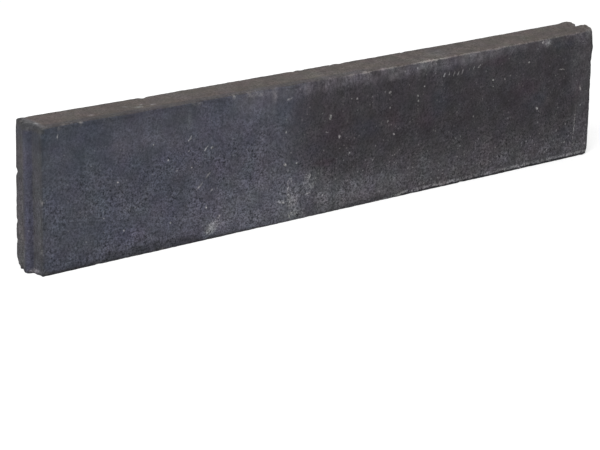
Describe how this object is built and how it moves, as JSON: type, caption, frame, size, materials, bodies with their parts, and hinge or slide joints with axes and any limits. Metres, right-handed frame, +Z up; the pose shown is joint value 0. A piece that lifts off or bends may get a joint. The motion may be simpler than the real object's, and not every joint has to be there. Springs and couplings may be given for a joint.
{
  "type": "concrete edging kerb stone",
  "caption": "Long upright slab of dark cast concrete that edges a path or lawn, with a half-round tongue up one end and the matching groove up the other.",
  "frame": {"origin": "on the floor under the middle of the stone's box, tongue included", "axes": "+X along the stone towards its grooved end, +Y across its thickness towards the back face, +Z up from the foot it stands on"},
  "size_m": [1.009, 0.06, 0.2],
  "materials": {
    "concrete": "dark grey through-coloured concrete, matt, with fine pits, pale grains and whitish bloom"
  },
  "bodies": {
    "root": {"kerb_stone": "concrete"}
  },
  "joints": []
}
